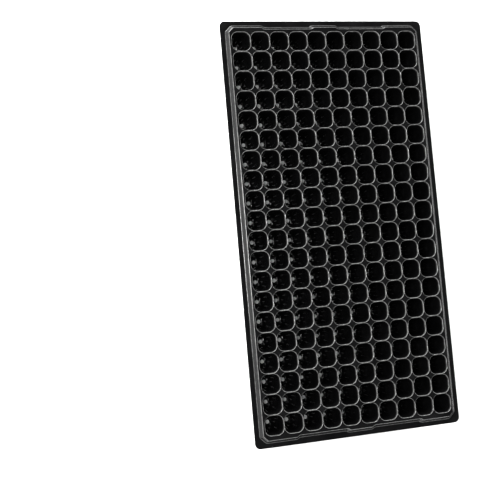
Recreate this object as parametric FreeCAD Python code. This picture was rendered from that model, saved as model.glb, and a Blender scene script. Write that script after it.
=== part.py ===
import FreeCAD, Part
import math
import os

# Plug tray: one thermoformed sheet of black polystyrene with ten columns and twenty rows of tapered
# cells. The tray lies deck up on the tips of its cells. Millimetres. Z is up, X runs along the short
# side, Y along the long side, and the origin is at the middle of the footprint, on the floor.
#
# The sheet is stored as regions that meet face to face, so that every cell stays hollow in a
# simulation. Each cell's floor is a plate of its own. Above it the cell is cut along its two
# diagonals: the quarters that face along Y belong to the row's two wall strips, and those that face
# along X to the column's two wall strips. At the corners of the deck squares the strips cross as a
# half lap: rows take the top half of the sheet.

Vector = FreeCAD.Vector
ORIGIN = Vector(0, 0, 0)
UP = Vector(0, 0, 1)

# Overall size and sheet
tray_length = 540.0
tray_width = 280.0
tray_height = 33.0
sheet = 0.8  # deck and rim
cell_wall = 0.3  # the sheet is drawn thinner down the cells

# Cell grid
columns = 10
rows = 20
pitch = 25.5
lap = 1.75  # side of the half lap squares at the corners of a cell's deck square

# One cell: rounded square cup, wide at the mouth and narrow at the floor
mouth_width = 24.0
mouth_corner_radius = 8.0
floor_width = 11.4
drain_hole_diameter = 5.0

# Scoop pressed into each face of the cup, from its tip up: a round groove with a ball end
scoop_radius = 4.0
scoop_reach_at_tip = 5.2  # from the cell's axis to the bottom of the groove, at the tip
scoop_reach_at_end = 7.0  # the same at the centre of the ball end
scoop_end_height = 12.0  # of the centre of the ball end above the tip

# Nick across the middle of each web between two mouths
nick_depth = 0.4
nick_radius = 1.3

# Rim: flat deck margin, wall sloping down and out, flat flange round the outside
deck_margin_side = 2.6  # from the mouths of the outer cells to the edge of the deck
deck_margin_end = 5.6
end_jog_depth = 2.2  # how far the end walls step in
end_jog_inner = 15.3  # from the middle of an end wall to its first step
end_jog_outer = 86.0  # from the middle of an end wall to its second step
end_jog_run = 2.4  # length of each sloping step
deck_corner_chamfer = 5.6
wall_height = 6.5
wall_slope = 4.8  # how far the wall leans out over its height
flange_corner_radius = 7.0
corner_piece_x = 118.0  # the corner pieces of the rim start here
corner_piece_y = 248.0

# Derived from the grid
field_x = columns * pitch / 2
field_y = rows * pitch / 2
deck_edge_x = field_x - (pitch - mouth_width) / 2 + deck_margin_side
deck_edge_y = field_y - (pitch - mouth_width) / 2 + deck_margin_end
under_deck = tray_height - sheet
flange_bottom = tray_height - wall_height
far = tray_length  # longer than any distance inside the tray


def turned(shape, turns):
    """A copy turned about the Z axis by quarter turns."""
    copy = shape.copy()
    copy.rotate(ORIGIN, UP, 90 * turns)
    return copy


def block(x, y, z):
    """A box from three (low, high) pairs."""
    size = [high - low for low, high in (x, y, z)]
    return Part.makeBox(*size, Vector(x[0], y[0], z[0]))


def tapered_cup(low_width, high_width, corner_centre, z_low, z_high):
    """A rounded square frustum about the Z axis. The corners are cones that stand on
    (corner_centre, corner_centre), so their radius grows with the width."""
    low, high = low_width / 2, high_width / 2
    side = [
        Vector(-low, -corner_centre, z_low),
        Vector(low, -corner_centre, z_low),
        Vector(high, -corner_centre, z_high),
        Vector(-high, -corner_centre, z_high),
    ]
    across = Part.Face(Part.makePolygon(side + side[:1])).extrude(Vector(0, 2 * corner_centre, 0))
    foot = Vector(corner_centre, corner_centre, z_low)
    cone = Part.makeCone(low - corner_centre, high - corner_centre, z_high - z_low, foot, UP, 90)
    corners = [turned(cone, turns) for turns in range(4)]
    return across.fuse([turned(across, 1)] + corners).removeSplitter()


def scoops(radius):
    """The four tools that press the scoops in, one for each face of the cup."""
    foot = Vector(scoop_reach_at_tip + scoop_radius, 0, 0)
    top = Vector(scoop_reach_at_end + scoop_radius, 0, scoop_end_height)
    run = top - foot
    finger = Part.makeCylinder(radius, 2 * run.Length, foot - run, run)
    tool = finger.fuse(Part.makeSphere(radius, top))
    return [turned(tool, turns) for turns in range(4)]


def cell():
    """One cell with its square of deck, about the Z axis."""
    corner_centre = mouth_width / 2 - mouth_corner_radius
    taper = (mouth_width - floor_width) / (tray_height - cell_wall)
    tip_width = floor_width + 2 * cell_wall
    neck_width = mouth_width - taper * sheet + 2 * cell_wall
    inside = tapered_cup(floor_width, mouth_width, corner_centre, cell_wall, tray_height)
    outside = tapered_cup(tip_width, neck_width, corner_centre, 0, under_deck)
    inside = inside.cut(scoops(scoop_radius + cell_wall))
    outside = outside.cut(scoops(scoop_radius))
    span = (-pitch / 2, pitch / 2)
    square = block(span, span, (under_deck, tray_height))
    shape = square.fuse(outside).cut(inside)
    shape = shape.cut(Part.makeCylinder(drain_hole_diameter / 2, 3 * cell_wall, Vector(0, 0, -cell_wall)))
    nick_start = Vector(-pitch, 0, tray_height - nick_depth + nick_radius)
    nick = Part.makeCylinder(nick_radius, 2 * pitch, nick_start, Vector(1, 0, 0))
    return shape.cut([nick, turned(nick, 1)]).removeSplitter()


def quarter(whole, turns, owns_top_of_lap):
    """The quarter of a cell that faces along X after the given quarter turns."""
    reach = pitch
    wedge = [Vector(0, 0, 0), Vector(reach, -reach, 0), Vector(reach, reach, 0)]
    mask = Part.Face(Part.makePolygon(wedge + wedge[:1])).extrude(Vector(0, 0, 2 * tray_height))
    middle = tray_height - sheet / 2
    corner = (pitch / 2 - lap, reach)
    mirrored = (-reach, lap - pitch / 2)
    tops = [block(corner, side, (middle, 2 * tray_height)) for side in (corner, mirrored)]
    bottoms = [block(corner, side, (0, middle)) for side in (corner, mirrored)]
    gained, lost = (tops, bottoms) if owns_top_of_lap else (bottoms, tops)
    mask = mask.cut(lost).fuse(gained)
    return whole.common(turned(mask, turns)).Solids[0]


def strip(piece, step, count):
    """One solid from a quarter cell repeated along a row or a column, centred on the origin."""
    first = step * (-(count - 1) / 2)
    copies = [piece.translated(first + step * i) for i in range(count)]
    joined = copies[0].fuse(copies[1:]).removeSplitter()
    return joined.Solids[0]


def deck_outline(grow):
    """The edge of the deck, grown outwards by a distance, as an anticlockwise list of points."""
    x = deck_edge_x + grow
    y = deck_edge_y + grow
    y_in = y - end_jog_depth
    chamfer = deck_corner_chamfer + grow * (2 - math.sqrt(2))
    lean = grow * (math.hypot(end_jog_run, end_jog_depth) - end_jog_run) / end_jog_depth
    half = [
        Vector(x, chamfer - y, 0),
        Vector(x, y - chamfer, 0),
        Vector(x - chamfer, y, 0),
        Vector(end_jog_outer - lean, y, 0),
        Vector(end_jog_outer - end_jog_run - lean, y_in, 0),
        Vector(end_jog_inner + end_jog_run + lean, y_in, 0),
        Vector(end_jog_inner + lean, y, 0),
        Vector(-end_jog_inner - lean, y, 0),
        Vector(-end_jog_inner - end_jog_run - lean, y_in, 0),
        Vector(end_jog_run - end_jog_outer + lean, y_in, 0),
        Vector(lean - end_jog_outer, y, 0),
        Vector(chamfer - x, y, 0),
    ]
    return half + [Vector(-point.x, -point.y, 0) for point in half]


def frustum(low, z_low, high, z_high):
    """A solid between two outlines with the same number of points."""
    low = [Vector(p.x, p.y, z_low) for p in low]
    high = [Vector(p.x, p.y, z_high) for p in high]
    faces = [Part.Face(Part.makePolygon(ring + ring[:1])) for ring in (low, high)]
    for i in range(len(low)):
        before = i - 1
        faces.append(Part.Face(Part.makePolygon([low[before], low[i], high[i], high[before], low[before]])))
    solid = Part.Solid(Part.Shell(faces))
    if solid.Volume < 0:
        solid.reverse()
    return solid


def skirt_ring():
    """The deck margin round the cells and the wall that slopes down from it."""
    lean = wall_slope / wall_height
    wall_across = sheet * math.hypot(1, lean)
    outer = frustum(deck_outline(wall_slope), flange_bottom, deck_outline(0), tray_height)
    inner_low = deck_outline(wall_slope - wall_across)
    inner_high = deck_outline(lean * sheet - wall_across)
    inner = frustum(inner_low, flange_bottom, inner_high, under_deck)
    field = block((-field_x, field_x), (-field_y, field_y), (flange_bottom, tray_height))
    return outer, outer.cut([inner, field])


def flange_ring(inside):
    """The flat flange outside the wall."""
    plate = block(
        (-tray_width / 2, tray_width / 2),
        (-tray_length / 2, tray_length / 2),
        (flange_bottom, flange_bottom + sheet),
    )
    upright = [edge for edge in plate.Edges if edge.BoundBox.ZLength > sheet / 2]
    return plate.makeFillet(flange_corner_radius, upright).cut(inside)


def rim_regions(ring, name):
    """A ring cut into its two sides, two ends and four corners."""
    tall = (0, 2 * tray_height)
    middle_x = (-corner_piece_x, corner_piece_x)
    middle_y = (-corner_piece_y, corner_piece_y)
    regions = {
        name + "_side_left": block((-far, 0), middle_y, tall),
        name + "_side_right": block((0, far), middle_y, tall),
        name + "_end_front": block(middle_x, (-far, 0), tall),
        name + "_end_back": block(middle_x, (0, far), tall),
    }
    parts = {node: ring.common(region).Solids for node, region in regions.items()}
    parts[name + "_corners"] = ring.cut(list(regions.values())).Solids
    return parts


def all_parts():
    """Every node's name and its solids."""
    parts = {}
    whole = cell()
    floor_layer = block((-pitch, pitch), (-pitch, pitch), (0, cell_wall))
    floor = whole.common(floor_layer).Solids[0]
    walls = whole.cut(floor_layer)
    along_x = Vector(pitch, 0, 0)
    along_y = Vector(0, pitch, 0)
    row_strips = [strip(quarter(walls, turns, True), along_x, columns) for turns in (1, 3)]
    column_strips = [strip(quarter(walls, turns, False), along_y, rows) for turns in (0, 2)]
    for row in range(rows):
        place = along_y * ((rows - 1) / 2 - row)
        parts["cell_row_%02d_walls" % (row + 1)] = [s.translated(place) for s in row_strips]
    for column in range(columns):
        place = along_x * (column - (columns - 1) / 2)
        parts["cell_column_%02d_walls" % (column + 1)] = [s.translated(place) for s in column_strips]
        first = place - along_y * ((rows - 1) / 2)
        floors = [floor.translated(first + along_y * row) for row in range(rows)]
        parts["cell_column_%02d_floors" % (column + 1)] = floors
    inside, skirt = skirt_ring()
    parts.update(rim_regions(skirt, "skirt"))
    parts.update(rim_regions(flange_ring(inside), "flange"))
    return parts


os.makedirs("parts", exist_ok=True)
for node, solids in all_parts().items():
    shape = Part.makeCompound(solids) if len(solids) > 1 else solids[0]
    valid = shape.isValid() and all(s.Volume > 0 for s in solids)
    print(node, len(solids), "solids", round(shape.Volume), "mm3", "valid" if valid else "NOT VALID")
    shape.exportStep(os.path.join("parts", node + ".step"))
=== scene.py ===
import math

import bpy
import numpy as np
from mathutils import Matrix, Vector


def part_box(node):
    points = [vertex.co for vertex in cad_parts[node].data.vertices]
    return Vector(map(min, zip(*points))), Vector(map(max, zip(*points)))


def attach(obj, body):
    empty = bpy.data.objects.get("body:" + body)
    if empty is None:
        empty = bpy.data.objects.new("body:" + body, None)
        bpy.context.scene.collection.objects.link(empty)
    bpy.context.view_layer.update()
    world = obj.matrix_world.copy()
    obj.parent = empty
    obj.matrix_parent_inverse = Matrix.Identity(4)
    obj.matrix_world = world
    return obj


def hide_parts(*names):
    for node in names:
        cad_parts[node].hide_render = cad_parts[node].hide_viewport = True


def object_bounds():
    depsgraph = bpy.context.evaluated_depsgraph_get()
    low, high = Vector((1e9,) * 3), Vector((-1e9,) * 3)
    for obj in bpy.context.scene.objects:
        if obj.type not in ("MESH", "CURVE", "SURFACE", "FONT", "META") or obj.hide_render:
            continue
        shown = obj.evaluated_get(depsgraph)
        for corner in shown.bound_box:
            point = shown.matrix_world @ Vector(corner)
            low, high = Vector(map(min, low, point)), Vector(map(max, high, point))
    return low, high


# Plug tray: one thermoformed sheet of glossy black polystyrene. The cells are drawn here row by row
# as closed thin sheets with rounded lips, nicked webs, scooped walls and drain holes. The rim is one
# more closed sheet round them. Shapes are worked out in millimetres and stored in metres.

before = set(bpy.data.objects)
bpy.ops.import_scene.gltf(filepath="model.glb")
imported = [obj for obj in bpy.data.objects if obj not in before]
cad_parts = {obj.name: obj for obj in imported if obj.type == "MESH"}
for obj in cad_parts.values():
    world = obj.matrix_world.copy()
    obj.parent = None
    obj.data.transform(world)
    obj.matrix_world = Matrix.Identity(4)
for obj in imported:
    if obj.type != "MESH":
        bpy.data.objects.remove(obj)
cad_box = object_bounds()

MM = 0.001

# Sheet
DECK_SHEET = 0.8
CELL_WALL = 0.3

# Cell
MOUTH_WIDTH = 24.0
FLOOR_WIDTH = 11.4
CORNER_CENTRE = 4.0  # the corner cones of the cup stand on this square
DRAIN_RADIUS = 2.5
FLOOR_FILLET = 2.0
LIP_RADIUS = 0.6
WEB_FLAT = 0.05  # half of the flat crest left between two mouths
UNDER_DECK_FLARE_DROP = 0.2  # the outside of the cup flares out into the underside of the deck
UNDER_DECK_FLARE_REACH = 0.15

# Scoops pressed into the cell's faces
SCOOP_RADIUS = 4.0
SCOOP_REACH_TIP = 5.2
SCOOP_REACH_END = 7.0
SCOOP_END_HEIGHT = 12.0
SCOOP_BLEND = 1.0

# Nicks across the webs
NICK_DEPTH = 0.4
NICK_HALF_WIDTH = 0.95
NICK_WEB_REACH = 1.2  # a nick sinks the sheet this far to each side of the middle of its web
NICK_LOWEST = 1.6  # and nothing that lies further than this below the deck
NICK_FADE = 0.8  # above that height the drop grows to its full depth over this height

# Rim
WALL_LEAN = 4.8
DECK_CORNER_CHAMFER = 5.6
END_JOG_DEPTH = 2.2
END_JOG_INNER = 15.3
END_JOG_OUTER = 86.0
END_JOG_RUN = 2.4
OUTWARD_CORNER_RADIUS = 1.0
INWARD_CORNER_RADIUS = 5.3
DECK_EDGE_RADIUS = 0.9
FOOT_RADIUS = 1.2
FLANGE_CORNER_RADIUS = 7.0
FLANGE_EDGE_ROUND = 0.25
FLAT_SUPPORT = 0.15  # a narrow band beside each rounded edge keeps the flat next to it flat in shading
CORNER_ROOM = 1.0  # the deck margin turns the corner of the field from this far before the chamfer

# Stress whitening of the drawn edges, with a highlight painted along them as well, from 0 to 1
LIP_WHITENING_HIGHLIGHT_BIAS = 0.6  # puts the palest line half way round the lip
FLAT_TOLERANCE = 0.01  # what lies nearer the deck than this is deck and stays black
RIM_WHITENING_HIGHLIGHT_PEAK = 0.3  # on the rim it is palest this far from the deck or flange and gone at twice that
RIM_WHITENING_HIGHLIGHT = 0.8
FOOT_WHITENING_HIGHLIGHT_SHARE = 0.7

# How finely the shapes are drawn
FACE_POINTS = (0, 0.4, 0.8, 1.3, 2.4)  # distances from the middle of a face, closest at the nick
CORNER_POINTS = 6
BISECTIONS = 40
LIP_RINGS = 7
FILLET_RINGS = 5
PLAIN_RINGS = 4
INSIDE_SCOOP_RINGS = 13
OUTSIDE_SCOOP_RINGS = 11
PLAIN_FROM_SCOOP = 2.0  # the rings of the plain wall end this far above the scoops
INSIDE_PLAIN_TOP = 3.0  # and this far below the deck
OUTSIDE_PLAIN_TOP = 2.0
OUTLINE_CORNER_POINTS = 6
RIM_ROUND_RINGS = 6
FLANGE_EDGE_RINGS = 4
RIM_WALL_SHARES = (0.2, 0.5, 0.8)
WELD_DECIMALS = 4
SHARP_FROM_DEGREES = 50

# Sheet material
BLACK = (0.004, 0.004, 0.0042, 1)
CLOUDED_BLACK = (0.009, 0.009, 0.0094, 1)
# Pale grey of stress whitening, with a painted highlight along the same drawn edges
WHITENING_AND_HIGHLIGHT_GREY = (0.25, 0.25, 0.246, 1)
RIPPLES_FULL_BELOW = 7.0  # the ripples of drawing are strong from this far below the deck
RIPPLES_FAINT_ABOVE = 1.0
MIX_FACTOR, MIX_FIRST, MIX_SECOND, MIX_RESULT = 0, 6, 7, 2  # the colour sockets of a Mix node

# Stage, in metres
FLOOR_HALF_SIZE = 6.0
FLOOR_GREY = (0.82, 0.82, 0.82, 1)
LIT_PLACE = Vector((0, 0, 0))
CAMERA_PLACE = (-0.3857, -0.0648, 0.9964)
CAMERA_FORWARD = (0.2483, 0.0563, -0.9671)
CAMERA_UP = (0.0686, 0.9948, 0.0755)


def millimetres(corner):
    """A corner of a box of the frame, in millimetres."""
    return Vector(corner) / MM


def nodes_named(start, end=""):
    """The frame's nodes with this start and end to their names, in order."""
    return sorted(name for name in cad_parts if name.startswith(start) and name.endswith(end))


row_nodes = nodes_named("cell_row_")
column_nodes = nodes_named("cell_column_", "_walls")
floor_nodes = nodes_named("cell_column_", "_floors")
rim_nodes = nodes_named(("skirt_", "flange_"))

tray_high = millimetres(cad_box[1])
row_high = millimetres(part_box(row_nodes[0])[1])
skirt_high = millimetres(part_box("skirt_corners")[1])
flange_low, flange_high = (millimetres(corner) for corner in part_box("flange_corners"))

HEIGHT = tray_high.z
FIELD_X = row_high.x
FIELD_Y = row_high.y
PITCH = 2 * FIELD_X / len(column_nodes)
DECK_EDGE_X = skirt_high.x - WALL_LEAN
DECK_EDGE_Y = skirt_high.y - WALL_LEAN
FLANGE_BOTTOM = flange_low.z
FLANGE_TOP = flange_high.z


# ---- Meshes ---------------------------------------------------------------------------------------


def weld(points):
    """The points with those in one place joined, and where each of the old ones went."""
    rounded = np.round(points, WELD_DECIMALS)
    _, first, index = np.unique(rounded, axis=0, return_index=True, return_inverse=True)
    return points[first], index.reshape(-1)


def quads_between(upper, lower, around):
    """Faces between two rings of points, from the index of the first point of each."""
    here = np.arange(around)
    following = (here + 1) % around
    return np.stack([upper + here, lower + here, lower + following, upper + following], axis=1)


def build_mesh(name, points, faces, whitening_and_highlight):
    """A mesh object from points in millimetres, shaded smooth except across sharp edges. The last
    argument says how pale each point is painted, from 0 to 1: stress whitening and a painted highlight."""
    mesh = bpy.data.meshes.new(name)
    mesh.from_pydata((points * MM).tolist(), [], [tuple(face) for face in faces])
    mesh.attributes.new("whitening_and_highlight", "FLOAT", "POINT").data.foreach_set("value", whitening_and_highlight)
    mesh.validate()
    mesh.shade_smooth()
    mesh.set_sharp_from_angle(angle=math.radians(SHARP_FROM_DEGREES))
    piece = bpy.data.objects.new(name, mesh)
    bpy.context.scene.collection.objects.link(piece)
    return piece


# ---- Cells ----------------------------------------------------------------------------------------


def cell_angles():
    """Directions round a cell: closer together at the nicks, even round the corners."""
    along_face = np.arctan2(FACE_POINTS, MOUTH_WIDTH / 2)
    corner_start = math.atan2(CORNER_CENTRE, MOUTH_WIDTH / 2)
    round_corner = np.linspace(corner_start, math.pi / 4, CORNER_POINTS)
    octant = np.concatenate([along_face, round_corner])
    quarter = np.concatenate([octant, math.pi / 2 - octant[-2:0:-1]])
    return np.concatenate([quarter + turn * math.pi / 2 for turn in range(4)])


ANGLES = cell_angles()
# The directions folded into one eighth of a turn: the larger part first, then the smaller
FOLDED = [
    np.maximum(abs(np.cos(ANGLES)), abs(np.sin(ANGLES))),
    np.minimum(abs(np.cos(ANGLES)), abs(np.sin(ANGLES))),
]


def wall_at(z):
    """Half of the width of the cup's inside at a height."""
    slope = (MOUTH_WIDTH - FLOOR_WIDTH) / 2 / (HEIGHT - CELL_WALL)
    return FLOOR_WIDTH / 2 + slope * (z - CELL_WALL)


def depth_inside(reach, z):
    """How far the points at these distances from the axis lie inside the cup's wall and scoops."""
    a, b = FOLDED[0] * reach, FOLDED[1] * reach
    beyond_a, beyond_b = a - CORNER_CENTRE, b - CORNER_CENTRE
    corner = np.hypot(np.maximum(beyond_a, 0), np.maximum(beyond_b, 0))
    wall = wall_at(z) - CORNER_CENTRE - corner - np.minimum(np.maximum(beyond_a, beyond_b), 0)
    end = np.array([SCOOP_REACH_END + SCOOP_RADIUS, 0, SCOOP_END_HEIGHT])
    axis = end - [SCOOP_REACH_TIP + SCOOP_RADIUS, 0, 0]
    axis /= np.linalg.norm(axis)
    points = np.stack([a, b, np.full_like(a, z)], axis=1) - end
    along = np.minimum(points @ axis, 0)
    scoop = np.linalg.norm(points - along[:, None] * axis, axis=1) - SCOOP_RADIUS - CELL_WALL
    blend = np.maximum(SCOOP_BLEND - abs(wall - scoop), 0)
    return np.minimum(wall, scoop) - blend**2 / (4 * SCOOP_BLEND)


def ring(reach, z):
    """A ring of points at these distances from the axis of a cell."""
    return np.stack([reach * np.cos(ANGLES), reach * np.sin(ANGLES), np.full_like(ANGLES, z)], axis=1)


def section(z, inset):
    """A ring of points at a height, this far inside the cup's surface (outside it when negative)."""
    low = np.zeros_like(ANGLES)
    high = np.full_like(ANGLES, PITCH)
    for _ in range(BISECTIONS):
        middle = (low + high) / 2
        inside = depth_inside(middle, z) > inset
        low = np.where(inside, middle, low)
        high = np.where(inside, high, middle)
    return ring(low, z)


def tile_edge(z):
    """The square that a cell shares with its neighbours."""
    return ring(PITCH / 2 / FOLDED[0], z)


def cell_rings():
    """Rings of points down the inside of a cell from the edge of its deck square, through the drain
    hole and up the outside to the same edge below."""
    lip_from = PITCH / 2 - WEB_FLAT
    steep = math.pi / 2 - math.atan((MOUTH_WIDTH - FLOOR_WIDTH) / 2 / HEIGHT)
    scoop_top = SCOOP_END_HEIGHT + SCOOP_RADIUS + SCOOP_BLEND
    plain_foot = scoop_top + PLAIN_FROM_SCOOP
    tip_fillet = FLOOR_FILLET + CELL_WALL
    foot = 2 * tip_fillet
    hole = np.full_like(ANGLES, DRAIN_RADIUS)
    hole_edge = CELL_WALL / 3
    under_deck = HEIGHT - DECK_SHEET

    rings = [tile_edge(HEIGHT), section(HEIGHT, wall_at(HEIGHT) - lip_from - WEB_FLAT / 2)]
    for turn in np.linspace(0, steep, LIP_RINGS):
        z = HEIGHT - LIP_RADIUS * (1 - math.cos(turn))
        rings.append(section(z, wall_at(z) - lip_from + LIP_RADIUS * math.sin(turn)))
    plain = np.linspace(HEIGHT - INSIDE_PLAIN_TOP, plain_foot, PLAIN_RINGS)
    scooped = np.linspace(scoop_top, foot, INSIDE_SCOOP_RINGS)
    rings += [section(z, 0) for z in np.concatenate([plain, scooped])]
    for turn in np.linspace(0, math.pi / 2, FILLET_RINGS):
        z = CELL_WALL + FLOOR_FILLET * (1 - math.sin(turn))
        rings.append(section(z, FLOOR_FILLET * (1 - math.cos(turn))))

    rings += [ring(hole + hole_edge, CELL_WALL), ring(hole, CELL_WALL - hole_edge)]
    rings += [ring(hole, hole_edge), ring(hole + hole_edge, 0)]

    for turn in np.linspace(math.pi / 2, 0, FILLET_RINGS):
        z = tip_fillet * (1 - math.sin(turn))
        rings.append(section(z, FLOOR_FILLET - tip_fillet * math.cos(turn)))
    scooped = np.linspace(foot, scoop_top, OUTSIDE_SCOOP_RINGS)
    plain = np.linspace(plain_foot, HEIGHT - OUTSIDE_PLAIN_TOP, PLAIN_RINGS)
    rings += [section(z, -CELL_WALL) for z in np.concatenate([scooped, plain])]
    rings.append(section(under_deck - UNDER_DECK_FLARE_DROP, -CELL_WALL))
    rings.append(section(under_deck, -CELL_WALL - UNDER_DECK_FLARE_REACH))
    rings.append(tile_edge(under_deck))
    return np.array(rings)


def row_mesh_template(columns):
    """Points and faces of one row of cells about the origin, welded where the cells meet."""
    rings = cell_rings()
    count, around = rings.shape[:2]
    faces = [quads_between(i * around, (i + 1) * around, around) for i in range(count - 1)]
    side = quads_between((count - 1) * around, 0, around)
    middle = (rings[0] + np.roll(rings[0], -1, axis=0)) / 2
    on_x = abs(middle[:, 0]) > abs(middle[:, 1])
    points, quads = [], []
    for column in range(columns):
        centre = (column - (columns - 1) / 2) * PITCH
        start = column * count * around
        points.append(rings.reshape(-1, 3) + [centre, 0, 0])
        closed = ~on_x
        if column == 0:
            closed = closed | (on_x & (middle[:, 0] < 0))
        if column == columns - 1:
            closed = closed | (on_x & (middle[:, 0] > 0))
        quads += [face + start for face in faces] + [side[closed] + start]
    points, index = weld(np.concatenate(points))
    return points, index[np.concatenate(quads)]


def nick_drop(points):
    """How far each point of the sheet sinks into the nicks across the webs."""
    drop = np.zeros(len(points))
    near_top = np.clip((points[:, 2] - HEIGHT + NICK_LOWEST) / NICK_FADE, 0, 1)
    for axis, limit in ((0, FIELD_X), (1, FIELD_Y)):
        seam = np.round(points[:, axis] / PITCH) * PITCH
        across = points[:, 1 - axis] / PITCH - 0.5
        offset = abs(across - np.round(across)) * PITCH
        hollow = 0.5 + 0.5 * np.cos(np.pi * np.clip(offset / NICK_HALF_WIDTH, 0, 1))
        on_web = (abs(points[:, axis] - seam) < NICK_WEB_REACH) & (abs(seam) < limit - PITCH / 2)
        drop += np.where(on_web, NICK_DEPTH * hollow, 0)
    return drop * near_top


def lip_whitening_and_highlight(points):
    """Stress whitening and a painted highlight: strongest half way round the rounded lips, nothing on
    the flat deck or down in the cells.
    """
    below = HEIGHT - points[:, 2]
    rounded = (below > FLAT_TOLERANCE) & (below < LIP_RADIUS)
    strength = np.sin(np.pi * np.clip(below / LIP_RADIUS, 0, 1) ** LIP_WHITENING_HIGHLIGHT_BIAS)
    return np.where(rounded, strength, 0).astype(np.float32)


def make_cell_rows():
    """One piece for each row of cells. Each stands for a share of the columns' walls and floors too."""
    points, faces = row_mesh_template(len(column_nodes))
    # The lips are painted pale: stress whitening together with a painted highlight.
    whitening_and_highlight = lip_whitening_and_highlight(points)
    pieces = []
    for node in row_nodes:
        low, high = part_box(node)
        moved = points + [0, (low[1] + high[1]) / 2 / MM, 0]
        moved[:, 2] -= nick_drop(moved)
        piece = build_mesh("sheet_of_" + node, moved, faces.tolist(), whitening_and_highlight)
        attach(piece, "root")
        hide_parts(node, *column_nodes, *floor_nodes)
        pieces.append(piece)
    return pieces


# ---- Rim ------------------------------------------------------------------------------------------


def deck_polygon():
    """Corners of the edge of the deck, anticlockwise. The ends step in between the jogs."""
    x, y, cut = DECK_EDGE_X, DECK_EDGE_Y, DECK_CORNER_CHAMFER
    stepped = y - END_JOG_DEPTH
    inner, outer, run = END_JOG_INNER, END_JOG_OUTER, END_JOG_RUN
    half = [
        (x, cut - y),
        (x, y - cut),
        (x - cut, y),
        (outer, y),
        (outer - run, stepped),
        (inner + run, stepped),
        (inner, y),
        (-inner, y),
        (-inner - run, stepped),
        (run - outer, stepped),
        (-outer, y),
        (cut - x, y),
    ]
    return np.array(half + [(-px, -py) for px, py in half])


# For each corner of the tray, the first of the deck polygon's two corners there, and the quadrant
TRAY_CORNERS = [(1, (1, 1)), (11, (-1, 1)), (13, (-1, -1)), (23, (1, -1))]


def rounded_outline(grow):
    """The edge of the deck with its corners rounded, grown outwards. Every growth has as many points."""
    corners = deck_polygon()
    before = corners - np.roll(corners, 1, axis=0)
    normals = np.stack([before[:, 1], -before[:, 0]], axis=1)
    normals /= np.linalg.norm(normals, axis=1)[:, None]
    outline = []
    for i, corner in enumerate(corners):
        first, second = normals[i], normals[(i + 1) % len(corners)]
        turn = math.asin(first[0] * second[1] - first[1] * second[0])
        radius = OUTWARD_CORNER_RADIUS if turn > 0 else -INWARD_CORNER_RADIUS
        centre = corner - (first + second) / (1 + first @ second) * radius
        start = math.atan2(first[1], first[0])
        for angle in np.linspace(start, start + turn, OUTLINE_CORNER_POINTS):
            outline.append(centre + (radius + grow) * np.array([math.cos(angle), math.sin(angle)]))
    return np.array(outline)


def at_height(flat, z):
    """The points of a flat outline with their height added."""
    return np.column_stack([flat, np.full(len(flat), z)])


def outline_ring(grow, z):
    """The edge of the deck, grown outwards, at a height."""
    return at_height(rounded_outline(grow), z)


def field_ring(z):
    """The edge of the cell field, with a point for each point of the edge of the deck."""
    x, y = rounded_outline(0).T
    at_corner = abs(x) > DECK_EDGE_X - DECK_CORNER_CHAMFER - CORNER_ROOM
    beside = np.where(at_corner, np.sign(x) * FIELD_X, np.clip(x, -FIELD_X, FIELD_X))
    return at_height(np.column_stack([beside, np.sign(y) * FIELD_Y]), z)


def flange_ring(inset, z):
    """The edge of the flange, drawn in by an inset, with a point for each of the edge of the deck."""
    half_x, half_y = flange_high.x - inset, flange_high.y - inset
    radius = FLANGE_CORNER_RADIUS - inset
    x, y = rounded_outline(0).T
    flat = np.column_stack([x, np.sign(y) * half_y])
    arc_points = 2 * OUTLINE_CORNER_POINTS
    for turn, (corner, quadrant) in enumerate(TRAY_CORNERS):
        centre = np.array([half_x - radius, half_y - radius]) * quadrant
        angles = np.linspace(turn * math.pi / 2, (turn + 1) * math.pi / 2, arc_points)
        arc = centre + radius * np.stack([np.cos(angles), np.sin(angles)], axis=1)
        places = (np.arange(arc_points) + corner * OUTLINE_CORNER_POINTS) % len(flat)
        flat[places] = arc
    return at_height(flat, z)


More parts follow.
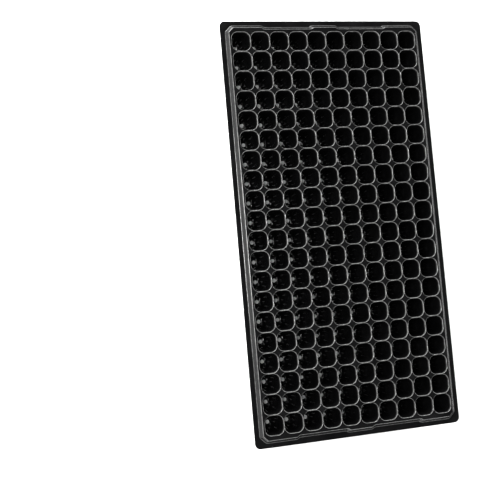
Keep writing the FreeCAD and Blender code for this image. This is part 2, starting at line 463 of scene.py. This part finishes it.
def rim_rings():
    """Rings from the edge of the cell field over the deck edge and wall to the flange, and back below."""
    steep = math.atan2(HEIGHT - FLANGE_BOTTOM, WALL_LEAN)
    away = np.array([math.sin(steep), math.cos(steep)])
    tangent = math.tan(steep / 2)
    foot = WALL_LEAN * (HEIGHT - FLANGE_TOP) / (HEIGHT - FLANGE_BOTTOM)
    edge_centre = np.array([-DECK_EDGE_RADIUS * tangent, HEIGHT - DECK_EDGE_RADIUS])
    foot_centre = np.array([foot + FOOT_RADIUS * tangent, FLANGE_TOP + FOOT_RADIUS])
    turns = np.linspace(0, steep, RIM_ROUND_RINGS)

    def rounding(centre, radius, angles):
        """Rings along an arc, above its centre for a positive radius and below for a negative one."""
        arc = [centre + radius * np.array([math.sin(turn), math.cos(turn)]) for turn in angles]
        return [outline_ring(*place) for place in arc]

    rings = [field_ring(HEIGHT), outline_ring(edge_centre[0] - FLAT_SUPPORT, HEIGHT)]
    rings += rounding(edge_centre, DECK_EDGE_RADIUS, turns)
    wall_top = edge_centre + DECK_EDGE_RADIUS * away
    wall_foot = foot_centre - FOOT_RADIUS * away
    rings += [outline_ring(*(wall_top + share * (wall_foot - wall_top))) for share in RIM_WALL_SHARES]
    rings += rounding(foot_centre, -FOOT_RADIUS, turns[::-1])
    rings.append(outline_ring(foot_centre[0] + FLAT_SUPPORT, FLANGE_TOP))

    edge_turns = np.linspace(0, math.pi / 2, FLANGE_EDGE_RINGS)
    rings.append(flange_ring(FLANGE_EDGE_ROUND + FLAT_SUPPORT, FLANGE_TOP))
    for face, side, angles in ((FLANGE_TOP, 1, edge_turns), (FLANGE_BOTTOM, -1, edge_turns[::-1])):
        for turn in angles:
            drop = FLANGE_EDGE_ROUND * (1 - math.cos(turn))
            rings.append(flange_ring(FLANGE_EDGE_ROUND * (1 - math.sin(turn)), face - side * drop))
    rings.append(flange_ring(FLANGE_EDGE_ROUND + FLAT_SUPPORT, FLANGE_BOTTOM))

    rings.append(outline_ring(foot_centre[0] + FLAT_SUPPORT, FLANGE_BOTTOM))
    rings += rounding(foot_centre, -(FOOT_RADIUS + DECK_SHEET), turns)
    rings += rounding(edge_centre, DECK_EDGE_RADIUS - DECK_SHEET, turns[::-1])
    rings.append(field_ring(HEIGHT - DECK_SHEET))
    return np.array(rings)


def rim_whitening_and_highlight(points):
    """Stress whitening and a painted highlight: strongest on the edge of the deck, less at the foot of
    the wall, nothing on the flats.
    """
    from_deck = HEIGHT - points[:, 2]
    from_flange = points[:, 2] - FLANGE_TOP
    near_edge = np.clip(1 - abs(from_deck - RIM_WHITENING_HIGHLIGHT_PEAK) / RIM_WHITENING_HIGHLIGHT_PEAK, 0, 1)
    near_foot = np.clip(1 - abs(from_flange - RIM_WHITENING_HIGHLIGHT_PEAK) / RIM_WHITENING_HIGHLIGHT_PEAK, 0, 1)
    return (RIM_WHITENING_HIGHLIGHT * np.maximum(near_edge, FOOT_WHITENING_HIGHLIGHT_SHARE * near_foot)).astype(np.float32)


def make_rim():
    """The deck margin, wall and flange in one piece."""
    rings = rim_rings()
    count, around = rings.shape[:2]
    quads = [quads_between(i * around, (i + 1) % count * around, around) for i in range(count)]
    points, index = weld(rings.reshape(-1, 3))
    distinct = [list(dict.fromkeys(quad.tolist())) for quad in index[np.concatenate(quads)]]
    faces = [face for face in distinct if len(face) > 2]
    piece = build_mesh("sheet_of_rim", points, faces, rim_whitening_and_highlight(points))
    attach(piece, "root")
    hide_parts(*rim_nodes)
    return piece


# ---- Material -------------------------------------------------------------------------------------


def node(tree, kind, inputs=None, **settings):
    """A node with its settings and unlinked input values."""
    made = tree.nodes.new(kind)
    for name, value in settings.items():
        setattr(made, name, value)
    for name, value in (inputs or {}).items():
        made.inputs[name].default_value = value
    return made


def map_range(tree, start, end, low, high):
    """A node that takes values from start to end to values from low to high."""
    inputs = {"From Min": start, "From Max": end, "To Min": low, "To Max": high}
    return node(tree, "ShaderNodeMapRange", inputs)


def add_colour(tree, shader, clouds, ripples):
    """Near black with faint clouds, patchily pale on the drawn edges: stress whitening and a painted
    highlight.
    """
    link = tree.links.new
    colour = node(tree, "ShaderNodeValToRGB")
    darkest, lightest = colour.color_ramp.elements
    darkest.position, darkest.color = 0.3, BLACK
    lightest.position, lightest.color = 0.75, CLOUDED_BLACK
    whitening_and_highlight = node(tree, "ShaderNodeAttribute", attribute_name="whitening_and_highlight")
    patchy = map_range(tree, 0.35, 0.65, 0.5, 1.0)
    amount = node(tree, "ShaderNodeMath", operation="MULTIPLY")
    # This mix paints the pale of stress whitening and of the highlight on the drawn edges.
    pale = node(tree, "ShaderNodeMix", data_type="RGBA")
    pale.inputs[MIX_SECOND].default_value = WHITENING_AND_HIGHLIGHT_GREY
    link(clouds.outputs["Fac"], colour.inputs["Fac"])
    link(ripples.outputs["Fac"], patchy.inputs["Value"])
    link(whitening_and_highlight.outputs["Fac"], amount.inputs[0])
    link(patchy.outputs["Result"], amount.inputs[1])
    link(amount.outputs["Value"], pale.inputs[MIX_FACTOR])
    link(colour.outputs["Color"], pale.inputs[MIX_FIRST])
    link(pale.outputs[MIX_RESULT], shader.inputs["Base Color"])


def add_gloss(tree, shader, clouds):
    """A gloss that clouds over in places."""
    gloss = map_range(tree, 0.3, 0.7, 0.12, 0.24)
    tree.links.new(clouds.outputs["Fac"], gloss.inputs["Value"])
    tree.links.new(gloss.outputs["Result"], shader.inputs["Roughness"])


def add_relief(tree, shader, place, grain, ripples):
    """A fine grain, and ripples that are strong on the drawn walls and faint on the deck."""
    link = tree.links.new
    fine = node(tree, "ShaderNodeBump", {"Strength": 0.12, "Distance": 0.00005})
    broad = node(tree, "ShaderNodeBump", {"Distance": 0.00022})
    parts = node(tree, "ShaderNodeSeparateXYZ")
    full, faint = (HEIGHT - RIPPLES_FULL_BELOW) * MM, (HEIGHT - RIPPLES_FAINT_ABOVE) * MM
    drawn = map_range(tree, full, faint, 1.0, 0.12)
    link(place.outputs["Position"], parts.inputs["Vector"])
    link(parts.outputs["Z"], drawn.inputs["Value"])
    link(drawn.outputs["Result"], broad.inputs["Strength"])
    link(grain.outputs["Fac"], fine.inputs["Height"])
    link(ripples.outputs["Fac"], broad.inputs["Height"])
    link(fine.outputs["Normal"], broad.inputs["Normal"])
    link(broad.outputs["Normal"], shader.inputs["Normal"])


def black_sheet():
    """Glossy formed polystyrene: near black, with cloudy gloss, ripples, and drawn edges painted pale
    for stress whitening and a highlight.
    """
    material = bpy.data.materials.new("black_polystyrene_sheet")
    material.use_nodes = True
    tree = material.node_tree
    tree.nodes.clear()
    out = node(tree, "ShaderNodeOutputMaterial")
    shader = node(tree, "ShaderNodeBsdfPrincipled", {"IOR": 1.55, "Specular IOR Level": 0.5})
    place = node(tree, "ShaderNodeNewGeometry")
    clouds = node(tree, "ShaderNodeTexNoise", {"Scale": 38.0, "Detail": 5.0, "Roughness": 0.6})
    grain = node(tree, "ShaderNodeTexNoise", {"Scale": 900.0, "Detail": 3.0})
    ripples = node(tree, "ShaderNodeTexNoise", {"Scale": 220.0, "Detail": 2.0})
    for texture in (clouds, grain, ripples):
        tree.links.new(place.outputs["Position"], texture.inputs["Vector"])
    add_colour(tree, shader, clouds, ripples)
    add_gloss(tree, shader, clouds)
    add_relief(tree, shader, place, grain, ripples)
    tree.links.new(shader.outputs["BSDF"], out.inputs["Surface"])
    return material


# ---- Stage ----------------------------------------------------------------------------------------


def make_floor():
    """A wide pale floor under the tray."""
    size = FLOOR_HALF_SIZE
    corners = [(-size, -size, 0), (size, -size, 0), (size, size, 0), (-size, size, 0)]
    mesh = bpy.data.meshes.new("floor")
    mesh.from_pydata(corners, [], [(0, 1, 2, 3)])
    floor = bpy.data.objects.new("floor", mesh)
    bpy.context.scene.collection.objects.link(floor)
    material = bpy.data.materials.new("pale_floor")
    material.use_nodes = True
    shader = material.node_tree.nodes["Principled BSDF"]
    shader.inputs["Base Color"].default_value = FLOOR_GREY
    shader.inputs["Roughness"].default_value = 0.9
    mesh.materials.append(material)


def make_area_light(name, place, width, height, watts):
    """A rectangular light turned towards the tray."""
    data = bpy.data.lights.new(name, "AREA")
    data.shape = "RECTANGLE"
    data.size = width
    data.size_y = height
    data.energy = watts
    light = bpy.data.objects.new(name, data)
    light.location = place
    light.rotation_euler = (LIT_PLACE - Vector(place)).to_track_quat("-Z", "Y").to_euler()
    bpy.context.scene.collection.objects.link(light)


def make_world(ground, band, zenith):
    """A studio with a bright band all round it, dimmer where it meets the ground and dark overhead."""
    world = bpy.data.worlds.new("studio")
    world.use_nodes = True
    tree = world.node_tree
    background = tree.nodes["Background"]
    direction = node(tree, "ShaderNodeTexCoord")
    parts = node(tree, "ShaderNodeSeparateXYZ")
    rise = map_range(tree, 0.04, 0.14, ground, band)
    fade = map_range(tree, 0.45, 0.68, 1.0, zenith / band)
    both = node(tree, "ShaderNodeMath", operation="MULTIPLY")
    tree.links.new(direction.outputs["Generated"], parts.inputs["Vector"])
    for step in (rise, fade):
        step.interpolation_type = "SMOOTHSTEP"
        tree.links.new(parts.outputs["Z"], step.inputs["Value"])
    tree.links.new(rise.outputs["Result"], both.inputs[0])
    tree.links.new(fade.outputs["Result"], both.inputs[1])
    tree.links.new(both.outputs["Value"], background.inputs["Strength"])
    background.inputs["Color"].default_value = (1, 1, 1, 1)
    bpy.context.scene.world = world


def make_camera():
    """A camera above and to the left of the tray, looking down at it."""
    data = bpy.data.cameras.new("camera")
    data.sensor_width = 36.0
    data.lens = 60.0
    camera = bpy.data.objects.new("camera", data)
    forward = Vector(CAMERA_FORWARD).normalized()
    right = forward.cross(Vector(CAMERA_UP).normalized()).normalized()
    up = right.cross(forward)
    turn = Matrix((right, up, -forward)).transposed().to_4x4()
    camera.matrix_world = Matrix.Translation(CAMERA_PLACE) @ turn
    bpy.context.scene.collection.objects.link(camera)
    bpy.context.scene.camera = camera


sheet_material = black_sheet()
for piece in make_cell_rows() + [make_rim()]:
    piece.data.materials.append(sheet_material)

make_floor()
make_world(ground=0.6, band=1.5, zenith=0.15)
make_area_light("key_light", place=(-1.05, 0.12, 1.45), width=0.6, height=0.6, watts=34)
make_area_light("cell_light", place=(-0.62, 0.0, 1.55), width=0.16, height=0.16, watts=5)
make_area_light("right_softbox", place=(2.0, 0, 1.1), width=1.8, height=0.7, watts=28)
make_area_light("far_softbox", place=(-0.5, 2.0, 1.0), width=1.4, height=0.9, watts=50)
make_camera()
bpy.context.scene.view_settings.view_transform = "Standard"
bpy.context.scene.view_settings.look = "High Contrast"
